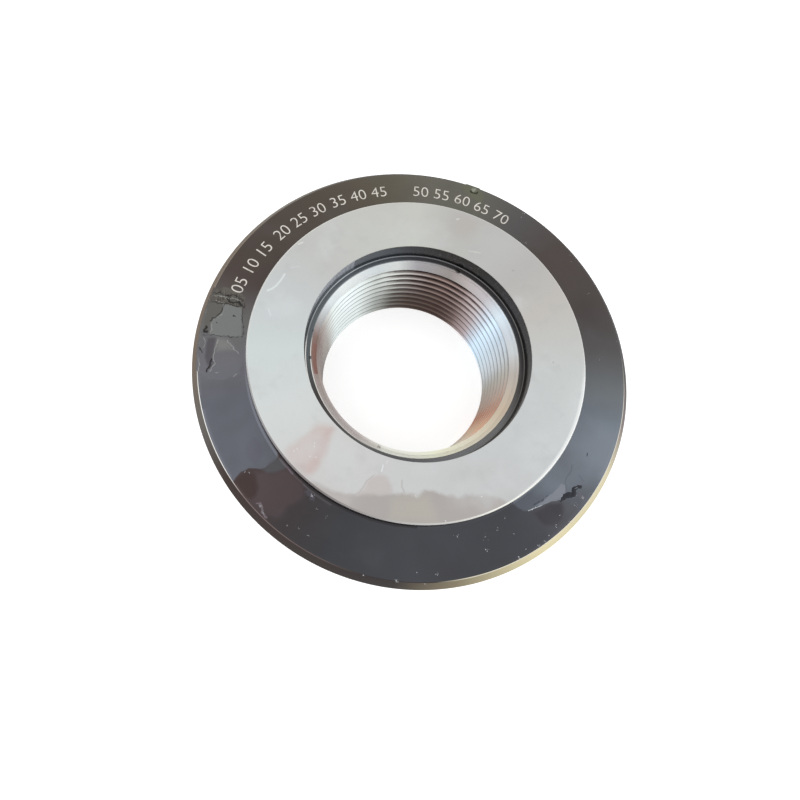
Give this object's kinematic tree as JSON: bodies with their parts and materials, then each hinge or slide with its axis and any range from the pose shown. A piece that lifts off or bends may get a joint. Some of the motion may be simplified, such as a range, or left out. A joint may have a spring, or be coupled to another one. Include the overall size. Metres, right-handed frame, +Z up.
{
  "type": "thread ring gauge",
  "caption": "Thick turned steel disc with a raised round boss, a counterbore and a tapered internal thread through the middle.",
  "frame": {"origin": "centre of the flat underside, on the thread axis", "axes": "+Z up the thread axis and out of the counterbored boss, +Y through the middle of the marked arc"},
  "size_m": [0.1016, 0.1016, 0.0254],
  "materials": {
    "gauge_steel": "hardened tool steel: boss face, lead-in chamfer and thread ground bright, marking face, rim and counterbore blackened and oiled"
  },
  "bodies": {
    "root": {"gauge_ring": "gauge_steel"}
  },
  "joints": []
}
